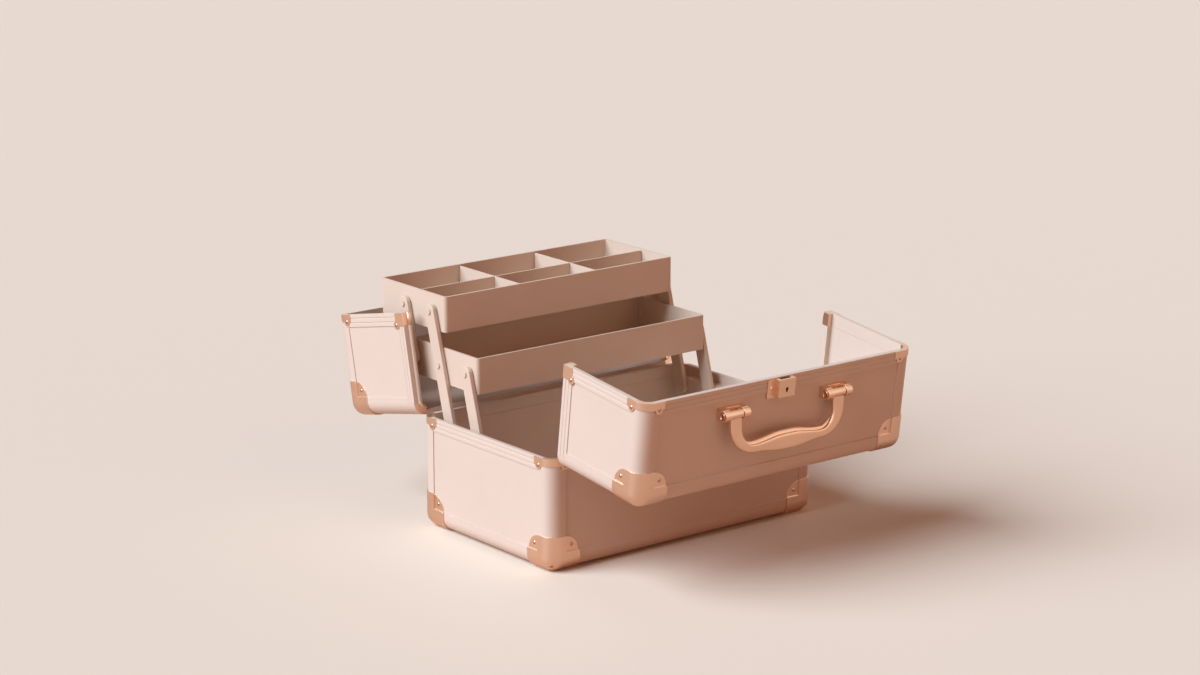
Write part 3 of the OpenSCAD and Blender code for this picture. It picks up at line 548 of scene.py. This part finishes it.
# The strap's middle line: down the right arm, round the bend, along the grip, and up the left arm
arm_length = eye_place[2] - grip_z - strap_bend_radius
grip_half = arm_x - strap_bend_radius
bend_length = strap_bend_radius * np.pi / 2
run = np.linspace(0.0, 1.0, line_steps) * 2 * (arm_length + bend_length + grip_half)
near = np.minimum(run, run[-1] - run)
side = np.where(run <= run[-1] / 2, 1.0, -1.0)
bend_turn = np.clip((near - arm_length) / strap_bend_radius, 0.0, np.pi / 2)
along_grip = np.maximum(near - arm_length - bend_length, 0.0)
middle_line = np.stack([
    side * (grip_half + strap_bend_radius * np.cos(bend_turn) - along_grip),
    np.full(run.shape, eye_place[1]),
    eye_place[2] - np.minimum(near, arm_length) - strap_bend_radius * np.sin(bend_turn),
], axis=1)
inwards = np.stack([-side * np.cos(bend_turn), 0 * run, np.sin(bend_turn)], axis=1)

# Its width goes down to the waist round the bend, and up to the belly in the middle of the grip
to_waist = smooth_step((near - arm_length * waist_from) / (bend_length + arm_length * (1 - waist_from)))
to_belly = smooth_step(along_grip / (belly_full * grip_half))
width = strap_width + (grip_waist - strap_width) * to_waist + (grip_belly - grip_waist) * to_belly
strap_rings = sweep(
    middle_line,
    inwards,
    half_across=width / 2,
    half_deep=np.full(run.shape, strap_depth / 2),
    shift_across=0 * run,
    shift_deep=strap_forward + strap_forward_more * to_waist,
    power=strap_squareness,
)
strap = closed_tube("handle_strap", strap_rings, cast_plate)
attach(strap, "handle")

# The pad grows out of the strap's back as the root of a smooth step along the bend
pad_from = arm_length - pad_overlap
on_pad = near > pad_from
pad_step = smooth_step((near[on_pad] - pad_from) / (pad_full * bend_length))
pad_grow = np.maximum(pad_step ** 0.5, pad_least)
pad_rings = sweep(
    middle_line[on_pad],
    inwards[on_pad],
    half_across=(width[on_pad] / 2 + pad_edge) * pad_grow,
    half_deep=(pad_front - pad_back) / 2 * pad_grow,
    shift_across=pad_inwards + pad_inwards_more * pad_grow,
    shift_deep=(pad_front + pad_back) / 2 + pad_lean * (1 - pad_grow),
    power=pad_squareness,
)
pad = closed_tube("handle_pad", pad_rings, cast_plate)
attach(pad, "handle")


def turned(name, profile, axis_from, axis, material, around=48):
    """A profile of (distance along the axis, radius) turned about an axis that isn't upright, closed."""
    axis = np.array(axis, float) / np.linalg.norm(axis)
    first = np.cross(axis, [0.0, 0.0, 1.0])
    first /= np.linalg.norm(first)
    second = np.cross(axis, first)
    turn = np.linspace(0, 2 * np.pi, around, endpoint=False)
    along, radius = np.array(profile, float).T
    spoke = np.cos(turn)[:, None] * first + np.sin(turn)[:, None] * second
    points = np.array(axis_from) + along[:, None, None] * axis + radius[:, None, None] * spoke[None]
    return closed_tube(name, points, material)


def rounded_rod(length, radius, round_radius):
    """Profile of a rod from 0 to length whose two ends are rounded by a quarter circle."""
    inset, rise = quarter_round()
    start = np.stack([round_radius * rise, radius - round_radius * inset], axis=1)
    stop = np.stack([length - start[::-1, 0], start[::-1, 1]], axis=1)
    return np.concatenate([start, stop])


eye_profile = rounded_rod(eye_width, eye_radius, eye_edge)
for end, outward in (("left", -1), ("right", 1)):
    eye_from = eye_place + [outward * arm_x - eye_width / 2, 0.0, 0.0]
    eye = turned(f"handle_{end}_eye", eye_profile, eye_from, (1, 0, 0), cast_plate)
    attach(eye, "handle")
    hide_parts("handle_bail")
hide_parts("handle_bail")
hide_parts("handle_bail")


# ---- Handle brackets ----
# Cast blocks on the front lid half's top panel, with two ears round each eye of the bail. A pin runs through
# all three, and the cap on each of its ends is dished in its middle.
dished_cap = [
    (0.0, 0.0036), (0.0006, 0.0040), (0.0011, 0.0038),
    (0.0013, 0.0032), (0.0011, 0.0027), (0.0006, 0.0024),
]
brackets = ["left_handle_bracket", "right_handle_bracket"]
dress(cast_plate, *brackets)
soften(brackets, width=0.00025)
for name in brackets:
    low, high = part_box(name)
    for end, outward, cap_x in (("left", -1, low[0]), ("right", 1, high[0])):
        cap_place = (cap_x, eye_place[1], eye_place[2])
        pin_cap = turned(f"{name}_pin_{end}_cap", dished_cap, cap_place, (outward, 0, 0), rivet_metal)
        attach(pin_cap, "front_lid")


# ---- Corner studs ----
# A low turned stud on the round of each base ball corner, halfway between its two sides and near the floor,
# riveted through the ball into the profile. It is of the rivets' metal.
ball_radius = 0.0152
stud_fall = np.radians(28.0)
stud_profile = [(-0.0004, 0.0021), (0.0002, 0.0021), (0.0004, 0.0018), (0.00055, 0.0012), (0.0006, 0.0004)]
ball_middle = np.array(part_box("base_ball_corners")[1]) - ball_radius
ball_middle[2] = ball_radius
stud_level = np.cos(stud_fall) / np.sqrt(2)
for half, toward in (("front", -1), ("rear", 1)):
    for end, outward in (("left", -1), ("right", 1)):
        sides = np.array([outward, toward, 1])
        out = np.array([stud_level, stud_level, -np.sin(stud_fall)]) * sides
        stud_place = ball_middle * sides + out * ball_radius
        stud = turned(f"base_{half}_{end}_stud", stud_profile, stud_place, out, rivet_metal)
        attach(stud, "base")


# ---- Lock ----
# A pressed case over the split with its key cylinder, and the strike on the other lid half. A near-black disc
# stands a little way inside the keyhole and turns with the cylinder: painted shade that makes the keyhole
# read dark.
# Painted shade: this near-black colour stands in for the shade inside the keyhole; the disc is no real part
keyhole_painted_shade_color = (0.045, 0.030, 0.025)
keyhole_depth = 0.0009
shade_disc_radius = 0.0036
shade_disc_thickness = 0.0004

dress(cast_plate, "lock_body", "lock_strike", "lock_cylinder", "lock_screw")
soften(["lock_body", "lock_strike"], width=0.0003, segments=3)
key_axis = np.array(joints["lock_turn"]["axis"], float)
key_axis *= -np.sign(key_axis[1])
cylinder_points = np.array([point.co[:] for point in nodes["lock_cylinder"].data.vertices])
face_height = (cylinder_points @ key_axis).max()
key_place = joint_place["lock_turn"]
shade_disc_depth = face_height - key_place @ key_axis - keyhole_depth - shade_disc_thickness
shade_disc_place = key_place + key_axis * shade_disc_depth
shade_disc_profile = [(0.0, shade_disc_radius), (shade_disc_thickness, shade_disc_radius)]
# The disc's near-black metal is painted shade for the depth of the keyhole
keyhole_painted_shade = rubbed_metal("keyhole_painted_shade", keyhole_painted_shade_color, roughness=0.45)
keyhole_shade_disc = turned("lock_keyhole_shade_disc", shade_disc_profile, shade_disc_place, key_axis, keyhole_painted_shade)
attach(keyhole_shade_disc, "lock_core")
